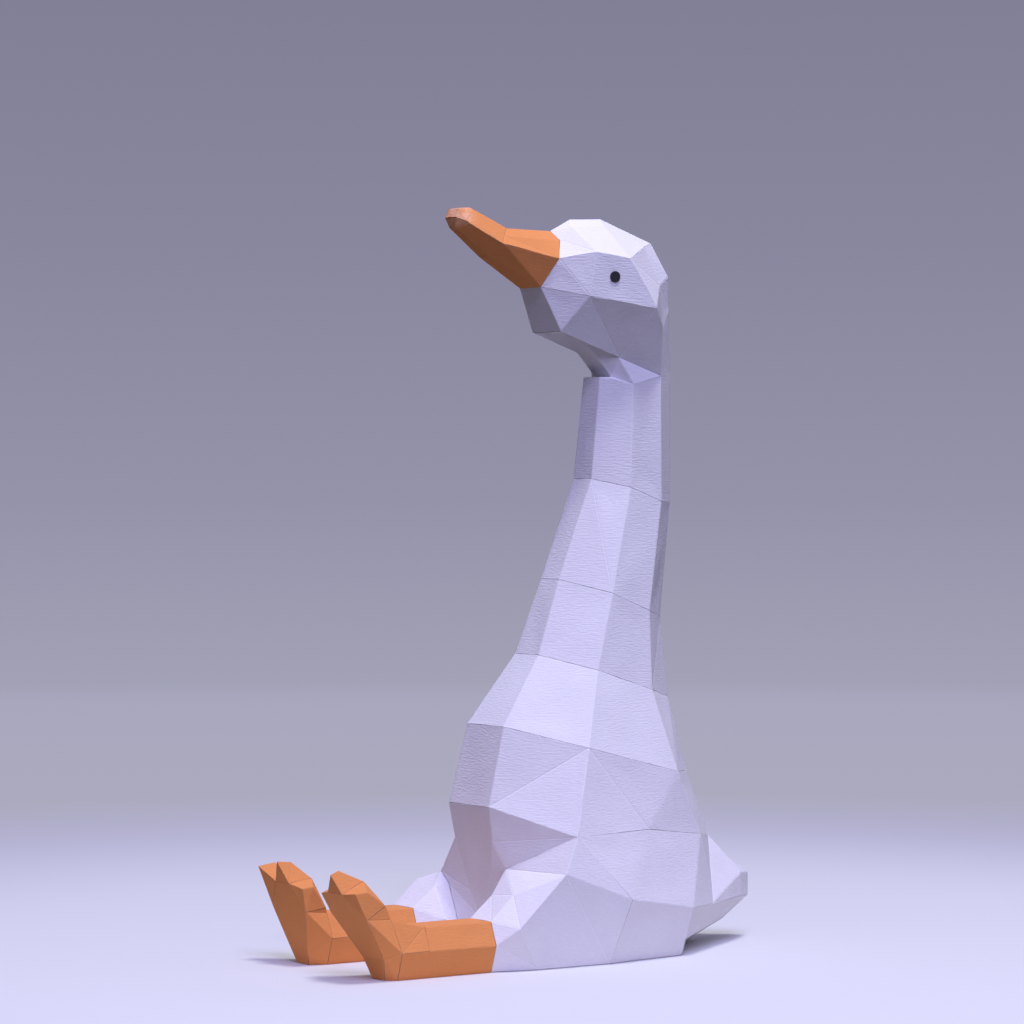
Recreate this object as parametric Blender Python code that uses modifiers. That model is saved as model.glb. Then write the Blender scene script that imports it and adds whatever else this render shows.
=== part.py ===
"""Sitting goose folded from card: white head, neck and body, orange beak and legs.

The figure is one closed skin of flat facets. It is cut into the cards that it is glued
from, and each card is a sheet of its own, folded along the edges between its facets.
Sizes are in millimetres. The goose looks towards -Y, its left side is at +X, and it sits
on the plane z = 0. Fold points are given for the left side, and the right side mirrors
them, but for the few that have a place of their own.
"""
import itertools
import math

import bmesh
import bpy
import numpy as np

MM = 0.001
TITLE = "papercraft_goose"

# Card and joints
CARD = 0.5
SEAM_GAP = 0.3
EYE_GAP = 0.25

# Drawing a card back from its seams: how much more the gap counts than the flatness of the
# facets beside it, and how a gap left too small and a long move count when moves are compared
PULL_WEIGHT = 4.0
SHORT_WEIGHT = 10.0
MOVE_WEIGHT = 0.1

# Eye, a punched disc stuck on the side of the head
EYE_DIAMETER = 6.4
EYE_THICKNESS = 0.5
EYE_Y = 3.5
EYE_Z = 408.5

# Legs: six-sided tubes that lie on the floor
LEG_APART = 84.0
LEG_HEIGHT = 29.5
LEG_EDGE_HEIGHT = 16.0
LEG_FLAT = 22.0
LEG_WIDTH = 33.0
LEG_START = -99.5
ANKLE_SEAM = -145.5

# Ankles: y of their edge, and (y, z) of their top
LEFT_ANKLE = -164.0
LEFT_ANKLE_TOP = (-168.5, 35.0)
RIGHT_ANKLE = -159.5
RIGHT_ANKLE_TOP = (-160.0, 30.5)

# Feet: the sole leans forward from the fold at the top of the heel, given by its
# (half width, distance before the heel, height)
HEEL = -170.0
HEEL_WIDTH = 13.0
LEFT_HEEL_FOLD = (11.7, 3.6, 12.5)
LEFT_LEAN_DEGREES = 33.5
RIGHT_HEEL_FOLD = (8.4, 1.3, 4.5)
RIGHT_LEAN_DEGREES = 16.0

# Sections of neck and body: (half width, y, z) of the corners at the front,
# at the front of the side, at the back of the side and at the back
SECTIONS = {
    "neck_top": ((8.5, 9.5, 349.0), (21.5, 25.5, 344.5), (20.5, 47.0, 349.5), (9.0, 62.0, 350.0)),
    "neck_middle": ((9.5, 3.0, 287.0), (25.0, 21.0, 282.0), (24.5, 44.5, 273.5), (10.0, 61.5, 273.0)),
    "neck_low": ((9.5, -21.0, 226.5), (34.0, 1.0, 218.5), (33.5, 29.0, 207.5), (12.0, 52.5, 202.5)),
    "shoulder": ((12.5, -38.0, 181.5), (40.5, -14.5, 173.0), (39.5, 26.5, 160.0), (16.0, 56.0, 153.5)),
    "waist": ((19.5, -68.0, 140.0), (59.0, -34.0, 128.5), (55.5, 34.0, 111.5), (22.0, 65.5, 108.5)),
}

# Other fold points: (half width, y, z)
FOLDS = {
    "tip_low": (6.0, -93.0, 442.0),
    "tip_top": (5.5, -90.5, 447.5),
    "tip_under": (3.0, -91.5, 436.0),
    "beak_edge_front": (11.0, -86.0, 438.5),
    "beak_edge_middle": (16.0, -65.5, 426.5),
    "beak_fold_front": (6.0, -82.5, 443.5),
    "beak_fold_middle": (8.0, -59.5, 432.0),
    "beak_fold_back": (9.0, -20.0, 430.5),
    "beak_ridge_front": (0.0, -79.0, 448.5),
    "beak_ridge_middle": (0.0, -52.5, 437.0),
    "beak_ridge_back": (0.0, -21.0, 436.5),
    "beak_under_middle": (5.0, -69.0, 419.5),
    "mouth": (11.0, -35.5, 402.0),
    "cheek": (18.5, -27.0, 419.0),
    "brow_centre": (0.0, -6.5, 444.0),
    "brow": (8.0, -10.5, 439.5),
    "crown_centre": (0.0, 16.0, 445.0),
    "crown": (7.5, 13.0, 441.0),
    "crown_back_centre": (0.0, 54.5, 431.5),
    "crown_back": (12.0, 40.5, 428.5),
    "temple_front": (30.0, -7.4, 423.0),
    "temple_back": (36.0, 13.1, 419.5),
    "jaw_middle": (28.5, -11.5, 396.5),
    "jaw_back": (40.5, 29.5, 390.0),
    "jaw_low": (15.0, 19.8, 360.5),
    "chin": (15.0, -24.0, 375.5),
    "throat_top": (8.0, -6.0, 375.5),
    "throat_low": (8.5, 18.5, 349.0),
    "nape_side_top": (18.0, 48.0, 404.5),
    "nape_side": (20.0, 49.0, 379.0),
    "nape_top": (8.0, 61.5, 411.0),
    "nape": (8.0, 62.0, 392.0),
    "breast_low": (21.5, -80.0, 93.0),
    "hip": (71.0, -50.5, 77.5),
    "flank": (62.0, 7.5, 78.5),
    "rump_side": (51.0, 54.5, 72.5),
    "rump": (12.0, 89.5, 67.0),
    "thigh_inner": (27.0, -71.5, 56.5),
    "thigh_outer": (74.5, -61.0, 56.5),
    "thigh_front": (52.5, -83.5, 44.0),
    "thigh_edge": (30.5, -84.0, 42.0),
    "thigh_edge_low": (16.0, -86.0, 23.5),
    "crotch": (27.0, -70.0, 44.0),
    "crotch_low": (15.0, -74.0, 22.5),
    "thigh_side": (66.5, -88.0, 26.0),
    "thigh_floor": (60.0, -70.0, 0.0),
    "belly_top": (20.0, -76.5, 72.0),
    "belly_middle": (10.0, -72.5, 40.5),
    "belly_low": (0.0, -71.0, 24.0),
    "belly_floor": (0.0, -73.0, 0.0),
    "haunch": (73.0, -12.0, 38.5),
    "haunch_floor": (61.0, -20.5, 0.0),
    "rear_side": (61.5, 41.5, 29.5),
    "rear_low": (52.0, 40.0, 9.0),
    "rear_floor": (52.0, 39.5, 0.0),
    "rear_floor_centre": (0.0, 82.0, 0.0),
    "tail_root": (42.0, 71.0, 28.5),
    "tail_under": (30.0, 79.0, 15.0),
    "tail_bend": (14.0, 104.0, 52.0),
    "tail_side_top": (16.0, 112.0, 42.5),
    "tail_side_low": (16.0, 112.0, 28.0),
    "tail_tip_top": (0.0, 130.0, 40.5),
    "tail_tip_low": (0.0, 130.0, 26.0),
    "tail_keel": (0.0, 109.5, 12.5),
    "tail_keel_root": (0.0, 85.5, 2.5),
}

# Fold points that lie elsewhere on the right side, where the thigh is pressed down a little
RIGHT_FOLDS = {
    "hip": (61.0, -43.0, 77.0),
    "thigh_inner": (37.0, -75.5, 50.0),
    "thigh_outer": (67.0, -56.0, 45.5),
    "thigh_side": (58.0, -86.0, 26.0),
    "crotch": (29.0, -75.0, 43.0),
    "crotch_low": (18.0, -76.0, 22.5),
}

# Foot above the fold of the heel, before it leans: (half width, height along the sole, depth behind it)
FOOT = {
    "sole_side": (19.0, 30.0, 0.0),
    "notch": (7.5, 46.5, 0.0),
    "notch_back": (7.0, 44.0, 16.0),
    "toe_corner": (19.5, 43.5, 1.5),
    "toe_corner_back": (18.5, 42.0, 9.5),
    "toe_tip": (0.0, 59.5, 0.0),
    "toe_tip_back": (0.0, 56.0, 9.0),
    "instep": (12.0, 25.0, 18.0),
}

# The middle toe of the left foot is bent back, and the outer toe of the right foot stands higher
LEFT_FOOT = {
    "toe_tip": (0.0, 57.0, 3.5),
    "toe_corner_outer": (19.0, 46.5, 2.0),
}
RIGHT_FOOT = {
    "toe_corner_outer": (24.0, 54.5, 0.0),
    "toe_corner_back_outer": (22.0, 53.5, 10.0),
}

# Cards of the two-sided middle: facets of the left half, mirrored to the right;
# "~" is the mirrored point, and a facet that has one lies across the middle
MIDDLE_CARDS = {
    "beak_upper": ("orange", [
        "~tip_low tip_low tip_top ~tip_top",
        "tip_low beak_edge_front beak_fold_front tip_top",
        "tip_top beak_fold_front beak_ridge_front",
        "~tip_top tip_top beak_ridge_front",
        "beak_edge_front beak_edge_middle beak_fold_middle beak_fold_front",
        "beak_fold_front beak_fold_middle beak_ridge_middle beak_ridge_front",
        "beak_edge_middle cheek beak_fold_back beak_fold_middle",
        "beak_fold_middle beak_fold_back beak_ridge_back beak_ridge_middle",
    ]),
    "beak_lower": ("orange", [
        "~tip_low tip_low tip_under ~tip_under",
        "tip_low beak_edge_front tip_under",
        "beak_edge_front beak_edge_middle beak_under_middle tip_under",
        "~tip_under tip_under beak_under_middle ~beak_under_middle",
        "beak_edge_middle mouth beak_under_middle",
        "beak_edge_middle cheek mouth",
        "~beak_under_middle beak_under_middle mouth ~mouth",
    ]),
    "crown": ("white", [
        "beak_ridge_back beak_fold_back brow brow_centre",
        "brow_centre brow crown crown_centre",
        "crown_centre crown crown_back crown_back_centre",
        "cheek temple_front beak_fold_back",
        "beak_fold_back temple_front brow",
        "brow temple_front crown",
        "crown temple_front temple_back",
        "crown temple_back crown_back",
    ]),
    "back_of_head": ("white", [
        "temple_back jaw_back nape_side_top crown_back",
        "crown_back nape_side_top nape_top crown_back_centre",
        "crown_back_centre nape_top ~nape_top",
        "jaw_back nape_side nape_side_top",
        "nape_side_top nape_side nape nape_top",
        "~nape_top nape_top nape ~nape",
    ]),
    "jaw": ("white", [
        "~mouth mouth chin ~chin",
        "mouth jaw_middle chin",
        "jaw_middle jaw_low chin",
        "jaw_middle jaw_back jaw_low",
    ]),
    "throat": ("white", [
        "~chin chin throat_top ~throat_top",
        "chin jaw_low throat_top",
        "jaw_low throat_low throat_top",
        "jaw_low neck_top_side_front throat_low",
        "~throat_top throat_top throat_low ~throat_low",
        "~throat_low throat_low neck_top_front ~neck_top_front",
        "throat_low neck_top_side_front neck_top_front",
    ]),
    "nape": ("white", [
        "jaw_back nape_side neck_top_side_back",
        "jaw_back neck_top_side_back jaw_low",
        "jaw_low neck_top_side_back neck_top_side_front",
        "nape_side nape neck_top_back neck_top_side_back",
        "nape ~nape ~neck_top_back neck_top_back",
    ]),
    "breast": ("white", [
        "~waist_front waist_front breast_low ~breast_low",
        "waist_front waist_side_front breast_low",
        "waist_side_front hip breast_low",
    ]),
    "back": ("white", [
        "waist_side_back waist_back rump rump_side",
        "waist_back ~waist_back ~rump rump",
    ]),
    "belly": ("white", [
        "~breast_low breast_low belly_top ~belly_top",
        "~belly_top belly_top belly_middle ~belly_middle",
        "~belly_middle belly_middle belly_low",
        "breast_low hip belly_top",
        "belly_top hip thigh_inner",
        "belly_top thigh_inner belly_middle",
        "belly_middle thigh_inner crotch",
        "belly_middle crotch belly_low",
        "belly_low crotch crotch_low",
        "belly_low crotch_low belly_floor",
    ]),
    "tail_upper": ("white", [
        "rump ~rump ~tail_bend tail_bend",
        "tail_bend ~tail_bend tail_tip_top",
        "tail_bend tail_tip_top tail_side_top",
        "rump_side rump tail_bend tail_side_top tail_side_low tail_root",
        "tail_side_top tail_tip_top tail_tip_low tail_side_low",
    ]),
    "tail_lower": ("white", [
        "rear_side tail_root tail_side_low tail_under rear_low",
        "tail_side_low tail_tip_low tail_keel tail_under",
        "tail_under tail_keel tail_keel_root rear_low",
        "rear_low tail_keel_root rear_floor_centre rear_floor",
    ]),
    "base": ("white", [
        "belly_floor leg_low_inner leg_low_outer thigh_floor haunch_floor rear_floor "
        "rear_floor_centre ~rear_floor ~haunch_floor ~thigh_floor ~leg_low_outer ~leg_low_inner",
    ]),
}

# Cards that there are two of, one for each side
SIDE_CARDS = {
    "face": ("white", [
        "cheek mouth jaw_middle",
        "cheek jaw_middle temple_front",
        "temple_front jaw_middle jaw_back temple_back",
    ]),
    "flank": ("white", [
        "waist_side_front flank hip",
        "waist_side_front waist_side_back flank",
        "waist_side_back rump_side flank",
    ]),
    "haunch": ("white", [
        "hip flank haunch",
        "flank rump_side rear_side haunch",
        "haunch rear_side rear_low rear_floor haunch_floor",
        "rump_side tail_root rear_side",
    ]),
    "thigh": ("white", [
        "hip thigh_outer thigh_inner",
        "hip haunch thigh_outer",
        "thigh_outer haunch haunch_floor thigh_floor thigh_side",
        "thigh_inner thigh_outer thigh_front",
        "thigh_inner thigh_front thigh_edge",
        "thigh_outer thigh_side thigh_front",
        "thigh_edge thigh_front leg_top_outer leg_top_inner",
        "thigh_front thigh_side leg_top_outer",
        "thigh_side leg_edge_outer leg_top_outer",
        "thigh_side thigh_floor leg_edge_outer",
        "leg_edge_outer thigh_floor leg_low_outer",
        "thigh_edge leg_top_inner thigh_edge_low",
        "thigh_edge_low leg_top_inner leg_edge_inner",
        "thigh_edge_low leg_edge_inner leg_low_inner",
        "thigh_edge_low leg_low_inner belly_floor",
        "thigh_inner thigh_edge crotch",
        "thigh_edge crotch_low crotch",
        "thigh_edge thigh_edge_low crotch_low",
        "thigh_edge_low belly_floor crotch_low",
    ]),
    "leg": ("orange", [
        "seam_top_outer seam_edge_outer leg_edge_outer leg_top_outer",
        "seam_top_inner seam_edge_inner leg_edge_inner leg_top_inner",
        "seam_top_outer leg_top_outer leg_top_inner seam_top_inner",
        "ankle_edge_outer ankle_low_outer leg_low_outer leg_edge_outer seam_edge_outer",
        "ankle_edge_inner ankle_low_inner leg_low_inner leg_edge_inner seam_edge_inner",
        "ankle_low_outer leg_low_outer leg_low_inner ankle_low_inner",
    ]),
    "ankle": ("orange", [
        "ankle_top_outer ankle_edge_outer seam_edge_outer seam_top_outer",
        "ankle_top_inner ankle_edge_inner seam_edge_inner seam_top_inner",
        "ankle_top_outer seam_top_outer seam_top_inner ankle_top_inner",
    ]),
    "foot_sole": ("orange", [
        "heel_low_outer heel_low_inner heel_top_inner heel_top_outer",
        "heel_top_outer heel_top_inner sole_side_inner notch_inner notch_outer sole_side_outer",
    ]),
    "foot_heel": ("orange", [
        "heel_low_outer heel_top_outer ankle_edge_outer ankle_low_outer",
        "heel_low_inner heel_top_inner ankle_edge_inner ankle_low_inner",
        "heel_top_outer sole_side_outer ankle_edge_outer",
        "heel_top_inner sole_side_inner ankle_edge_inner",
        "sole_side_outer instep_outer ankle_top_outer",
        "sole_side_outer ankle_top_outer ankle_edge_outer",
        "sole_side_inner instep_inner ankle_top_inner",
        "sole_side_inner ankle_top_inner ankle_edge_inner",
        "instep_outer ankle_top_outer ankle_top_inner instep_inner",
        "notch_back_outer instep_outer instep_inner notch_back_inner",
        "heel_low_outer ankle_low_outer ankle_low_inner heel_low_inner",
    ]),
    "foot_middle_toe": ("orange", [
        "notch_outer notch_inner toe_tip",
        "toe_tip notch_outer notch_back_outer toe_tip_back",
        "toe_tip notch_inner notch_back_inner toe_tip_back",
        "notch_back_outer notch_back_inner toe_tip_back",
    ]),
    "foot_outer_toe": ("orange", [
        "notch_outer toe_corner_outer sole_side_outer",
        "notch_outer notch_back_outer toe_corner_back_outer toe_corner_outer",
        "sole_side_outer toe_corner_outer toe_corner_back_outer",
        "sole_side_outer toe_corner_back_outer instep_outer",
        "notch_back_outer toe_corner_back_outer instep_outer",
    ]),
    "foot_inner_toe": ("orange", [
        "notch_inner toe_corner_inner sole_side_inner",
        "notch_inner notch_back_inner toe_corner_back_inner toe_corner_inner",
        "sole_side_inner toe_corner_inner toe_corner_back_inner",
        "sole_side_inner toe_corner_back_inner instep_inner",
        "notch_back_inner toe_corner_back_inner instep_inner",
    ]),
}

# Colour and roughness of each kind of card
CARD_FINISH = {
    "white": ((0.80, 0.78, 0.84, 1.0), 0.85),
    "orange": ((0.72, 0.33, 0.10, 1.0), 0.75),
    "black": ((0.02, 0.02, 0.025, 1.0), 0.60),
}

# Neck sleeves: upper section, lower section, and the upper corner from which a fold
# runs down to the other corner of the facet between front and side
SLEEVES = {
    "neck_sleeve_1": ("neck_top", "neck_middle", "side_front"),
    "neck_sleeve_2": ("neck_middle", "neck_low", "front"),
    "neck_sleeve_3": ("neck_low", "shoulder", ""),
    "neck_sleeve_4": ("shoulder", "waist", ""),
}
CORNERS = ("front", "side_front", "side_back", "back")


def start_empty():
    """Remove whatever is in the scene."""
    for item in list(bpy.data.objects):
        bpy.data.objects.remove(item, do_unlink=True)


def leg_points(ankle, ankle_top):
    """Points of one leg and of the foot's rear, as distances from the leg's middle."""
    flat = LEG_FLAT / 2
    wide = LEG_WIDTH / 2
    heel = HEEL_WIDTH / 2
    return {
        "leg_top": (flat, LEG_START, LEG_HEIGHT),
        "leg_edge": (wide, LEG_START, LEG_EDGE_HEIGHT),
        "leg_low": (flat, LEG_START, 0.0),
        "seam_top": (flat, ANKLE_SEAM, LEG_HEIGHT),
        "seam_edge": (wide, ANKLE_SEAM, LEG_EDGE_HEIGHT),
        "ankle_top": (flat, *ankle_top),
        "ankle_edge": (wide, ankle, LEG_EDGE_HEIGHT),
        "ankle_low": (flat, ankle, 0.0),
        "heel_low": (heel, HEEL, 0.0),
    }


def foot_points(lean, heel_fold, own_points):
    """Points of one foot, turned forward by the lean in degrees about the fold of its heel.

    The foot's own points take the place of those that both feet share.
    """
    sine = math.sin(math.radians(lean))
    cosine = math.cos(math.radians(lean))
    fold_half, before, height = heel_fold
    points = {"heel_top": (fold_half, HEEL - before, height)}
    for name, (half, up, behind) in {**FOOT, **own_points}.items():
        y = HEEL - before - up * sine + behind * cosine
        z = height + up * cosine + behind * sine
        points[name] = (half, y, z)
    return points


def all_points():
    """Every fold point of the goose by name; the right side's names start with 'right'."""
    half = dict(FOLDS)
    for section, corners in SECTIONS.items():
        for corner, place in zip(CORNERS, corners):
            half[section + "_" + corner] = place
    points = {}
    sides = (
        ("left ", 1, {}, leg_points(LEFT_ANKLE, LEFT_ANKLE_TOP),
         foot_points(LEFT_LEAN_DEGREES, LEFT_HEEL_FOLD, LEFT_FOOT)),
        ("right ", -1, RIGHT_FOLDS, leg_points(RIGHT_ANKLE, RIGHT_ANKLE_TOP),
         foot_points(RIGHT_LEAN_DEGREES, RIGHT_HEEL_FOLD, RIGHT_FOOT)),
    )
    for side, sign, own_folds, leg, foot in sides:
        half.update(own_folds)
        for name, (x, y, z) in half.items():
            key = name if x == 0 else side + name
            points[key] = (sign * x, y, z)
        middle = LEG_APART / 2
        for name, (x, y, z) in {**leg, **foot}.items():
            if x == 0:
                points[side + name] = (sign * middle, y, z)
            elif name.endswith("_outer"):
                points[side + name] = (sign * (middle + x), y, z)
            else:
                points[side + name + "_outer"] = (sign * (middle + x), y, z)
                points[side + name + "_inner"] = (sign * (middle - x), y, z)
    return points


def facet_names(facet, side, points):
    """Point names of one facet on one side of the goose."""
    other = "right " if side == "left " else "left "
    names = []
    for word in facet.split():
        if word.startswith("~"):
            names.append(other + word[1:])
        elif side + word in points:
            names.append(side + word)
        else:
            names.append(word)
    return names


def sleeve_facets(upper, lower, fold_from):
    """Facets of a neck sleeve between two sections."""
    facets = [
        f"~{upper}_front {upper}_front {lower}_front ~{lower}_front",
        f"{upper}_side_front {upper}_side_back {lower}_side_back {lower}_side_front",
        f"{upper}_side_back {upper}_back {lower}_back {lower}_side_back",
        f"{upper}_back ~{upper}_back ~{lower}_back {lower}_back",
    ]
    if fold_from == "side_front":
        facets.append(f"{upper}_front {upper}_side_front {lower}_front")
        facets.append(f"{upper}_side_front {lower}_side_front {lower}_front")
    elif fold_from == "front":
        facets.append(f"{upper}_front {upper}_side_front {lower}_side_front")
        facets.append(f"{upper}_front {lower}_side_front {lower}_front")
    else:
        facets.append(f"{upper}_front {upper}_side_front {lower}_side_front {lower}_front")
    return facets


def all_cards(points):
    """Each card's colour and its facets, as lists of point names."""
    cards = {}
    middle = dict(MIDDLE_CARDS)
    for name, (upper, lower, fold_from) in SLEEVES.items():
        middle[name] = ("white", sleeve_facets(upper, lower, fold_from))
    for name, (colour, facets) in middle.items():
        rows = []
        for facet in facets:
            rows.append(facet_names(facet, "left ", points))
            if "~" not in facet:
                rows.append(facet_names(facet, "right ", points))
        cards[name] = (colour, rows)
    for name, (colour, facets) in SIDE_CARDS.items():
        for side in ("left ", "right "):
            rows = [facet_names(facet, side, points) for facet in facets]
            cards[name + "_" + side.strip()] = (colour, rows)
    return cards


def make_skin(points, cards):
    """The whole goose as one closed skin; a face layer holds the number of its card."""
    skin = bmesh.new()
    layer = skin.faces.layers.int.new("card")
    verts = {name: skin.verts.new(place) for name, place in points.items()}
    for number, (colour, facets) in enumerate(cards.values()):
        for facet in facets:
            face = skin.faces.new([verts[name] for name in facet])
            face[layer] = number
    bmesh.ops.recalc_face_normals(skin, faces=skin.faces[:])
    skin.normal_update()
    return skin, layer


def seams_at(vert, faces, layer, number, below):
    """Direction and length by which a card has to clear each seam at one of its fold points.

    Each seam has a plane midway between its two cards. Both the outer skin and the inner one,
    which lies below it, keep SEAM_GAP / 2 from that plane.
    """
    seams = []
    for face in faces:
        for edge in face.edges:
            if vert not in edge.verts or all(other[layer] == number for other in edge.link_faces):
                continue
            along = (edge.verts[1].co - edge.verts[0].co).normalized()
            inward = along.cross(face.normal)
            if inward.dot(face.calc_center_median() - vert.co) < 0:
                inward = -inward
            half_angle = edge.calc_face_angle_signed() / 2
            away = np.array(inward * math.cos(half_angle) + face.normal * math.sin(half_angle))
            seams.append((away, SEAM_GAP / 2 + max(0.0, -below.dot(away))))
    return seams


def shifted(vert, faces, layer, number):
    """A fold point of one card, drawn back from its seams by the shortest move within its facets."""
    normals = np.array([face.normal for face in faces])
    below = np.linalg.lstsq(normals, np.full(len(faces), -CARD), rcond=0.05)[0]
    seams = seams_at(vert, faces, layer, number, below)
    best = None
    for count in range(len(seams) + 1):
        for chosen in itertools.combinations(seams, count):
            rows = np.vstack([normals] + [PULL_WEIGHT * away for away, need in chosen])
            values = [0.0] * len(faces) + [PULL_WEIGHT * need for away, need in chosen]
            move = np.linalg.lstsq(rows, np.array(values), rcond=0.02)[0]
            short = sum(max(0.0, need - move.dot(away)) for away, need in seams)
            off = np.linalg.norm(normals @ move)
            score = short * SHORT_WEIGHT + off + np.linalg.norm(move) * MOVE_WEIGHT
            if best is None or score < best[0]:
                best = (score, move)
    return np.array(vert.co) + best[1]


def make_card(name, skin, layer, number, material, collection):
    """One card: its facets as an open sheet, thickened inwards with Solidify."""
    faces = [face for face in skin.faces if face[layer] == number]
    sheet = bmesh.new()
    new_verts = {}
    for face in faces:
        for vert in face.verts:
            if vert in new_verts:
                continue
            around = [near for near in vert.link_faces if near[layer] == number]
            place = shifted(vert, around, layer, number)
            new_verts[vert] = sheet.verts.new(place * MM)
    for face in faces:
        sheet.faces.new([new_verts[vert] for vert in face.verts])
    bmesh.ops.triangulate(sheet, faces=sheet.faces[:])
    mesh = bpy.data.meshes.new(name)
    sheet.to_mesh(mesh)
    sheet.free()
    card = bpy.data.objects.new(name, mesh)
    collection.objects.link(card)
    mesh.materials.append(material)
    thick = card.modifiers.new("thickness", "SOLIDIFY")
    thick.thickness = CARD * MM
    thick.offset = -1
    thick.solidify_mode = "NON_MANIFOLD"
    thick.nonmanifold_thickness_mode = "CONSTRAINTS"
    thick.nonmanifold_merge_threshold = 0.00001
    return card


def make_material(name, finish):
    """A Principled material of one card's colour."""
    colour, roughness = CARD_FINISH[finish]
    material = bpy.data.materials.new(name + "_card")
    material.use_nodes = True
    shader = material.node_tree.nodes["Principled BSDF"]
    shader.inputs["Base Color"].default_value = colour
    shader.inputs["Roughness"].default_value = roughness
    shader.inputs["Metallic"].default_value = 0.0
    return material


def make_eye(side, sign, points, collection):
    """A black disc that lies on the flat facet between temple and jaw."""
    corners = [np.array(points[side + " " + name]) for name in ("temple_front", "jaw_middle", "jaw_back")]
    normal = np.cross(corners[1] - corners[0], corners[2] - corners[0])
    normal = normal / np.linalg.norm(normal)
    if normal[0] * sign < 0:
        normal = -normal
    aside = np.array([0.0, EYE_Y, EYE_Z])
    distance = np.dot(corners[0] - aside, normal) / normal[0]
    place = aside + np.array([distance, 0.0, 0.0]) + normal * (EYE_GAP + EYE_THICKNESS / 2)
    bpy.ops.mesh.primitive_cylinder_add(
        vertices=40, radius=EYE_DIAMETER / 2 * MM, depth=EYE_THICKNESS * MM, location=place * MM)
    eye = bpy.context.object
    eye.name = "eye_" + side
    eye.rotation_mode = "QUATERNION"
    tilt = math.acos(normal[2])
    axis = np.cross((0.0, 0.0, 1.0), normal)
    axis = axis / np.linalg.norm(axis) * math.sin(tilt / 2)
    eye.rotation_quaternion = (math.cos(tilt / 2), axis[0], axis[1], axis[2])
    eye.data.materials.append(make_material(eye.name, "black"))
    for old in list(eye.users_collection):
        old.objects.unlink(eye)
    collection.objects.link(eye)
    return eye


def main():
    start_empty()
    collection = bpy.data.collections.new(TITLE)
    bpy.context.scene.collection.children.link(collection)
    points = all_points()
    cards = all_cards(points)
    skin, layer = make_skin(points, cards)
    for number, (name, (colour, facets)) in enumerate(cards.items()):
        make_card(name, skin, layer, number, make_material(name, colour), collection)
    skin.free()
    make_eye("left", 1, points, collection)
    make_eye("right", -1, points, collection)


main()
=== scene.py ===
"""Looks of the papercraft goose: every card as a thin folded sheet, and a plain studio.

Each card is worked out from the solid that stands for it. The outline of its outer skin is
drawn towards the cards beside it, and the skin is divided finely. The facets are given the
slight buckle that glued card has, the open edges stand up a little in places, and the sheet
is thickened inwards. Sizes are in metres.
"""
import functools
import math

import bmesh
import bpy
import numpy as np
from bpy.props import FloatProperty, FloatVectorProperty, IntProperty, PointerProperty
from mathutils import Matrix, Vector
from mathutils.bvhtree import BVHTree


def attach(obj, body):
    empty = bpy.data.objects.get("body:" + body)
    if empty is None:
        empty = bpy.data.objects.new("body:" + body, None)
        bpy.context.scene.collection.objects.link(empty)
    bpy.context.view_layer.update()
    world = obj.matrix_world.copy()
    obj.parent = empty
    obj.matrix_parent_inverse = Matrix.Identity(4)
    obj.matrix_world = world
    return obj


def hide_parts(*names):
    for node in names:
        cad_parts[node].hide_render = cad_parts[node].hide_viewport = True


bl_info = {
    "name": "Papercraft goose",
    "version": (1, 0, 0),
    "blender": (4, 5, 0),
    "location": "3D View > Sidebar > Goose",
    "description": "Makes the cards of a folded goose and the studio it is shown in",
    "category": "Add Mesh",
}

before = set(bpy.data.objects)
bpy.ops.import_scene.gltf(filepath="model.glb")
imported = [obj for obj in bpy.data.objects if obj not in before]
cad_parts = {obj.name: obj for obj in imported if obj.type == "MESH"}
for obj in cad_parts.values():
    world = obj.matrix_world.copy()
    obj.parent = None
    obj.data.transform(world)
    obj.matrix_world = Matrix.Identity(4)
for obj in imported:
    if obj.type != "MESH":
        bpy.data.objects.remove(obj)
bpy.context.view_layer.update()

MM = 0.001

# Stands for the distance to a fold or a cut edge that a triangle doesn't have
FAR = 0.05

# Two points of a card closer than this are one point
SAME_POINT = 0.00002

# A ray that counts cards: how far off it starts and goes on after a hit, in millimetres, and
# the most skins that it counts
RAY_START = 0.1
RAY_STEP = 0.01
MOST_SKINS = 60

# Shortest and longest wave of a noise, as parts of its length, and the height of the noise
SHORTEST_WAVE = 0.7
LONGEST_WAVE = 1.5
NOISE_HEIGHT = 0.8

# Least and most parts that each side of a triangle is divided into
LEAST_PARTS = 3
MOST_PARTS = 36

# Sine of a facet's slope below which it counts as level, and the most that its grain turns,
# in radians
NEARLY_LEVEL = 0.15
GRAIN_TURN = 0.05

# Eye: points around it, rings of its front and of its rounded edge, and the radius of that
# edge as a part of half the disc's thickness
EYE_COLUMNS = 64
EYE_FRONT_RINGS = 9
EYE_EDGE_RINGS = 7
EYE_ROUNDING = 0.9

# Floor and backdrop: points around them, rings of each, and the radius of the innermost ring
STAGE_COLUMNS = 96
FLOOR_RINGS = 13
WALL_RINGS = 9
INNERMOST_RING = 0.001

# Where the light on the floor begins and ends to fade, as parts of the radius it is given by
FADE_FROM = 0.6
FADE_TO = 1.4

# Scales of the noise in the finishes
CLOUD_SCALE = 28.0
WEAR_SCALE = 160.0
SPECK_SCALE = 420.0
BASE_FIBRE_SCALE = 900.0
EDGE_FIBRE_SCALE = 1500.0
EYE_FIBRE_SCALE = 1800.0

# How strongly creases and worn edges show on each colour of card
WEAR = {"white": 1.0, "orange": 0.45}

# Tip of the beak, and the part of the worn patches' radius where they are strongest
BEAK_TIP = (0.004, -0.090, 0.448)
TIP_CORE = 0.3

# Camera: width of its sensor in millimetres, and how far it sees in metres
SENSOR_WIDTH = 36.0
CLIP_END = 50.0

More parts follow.
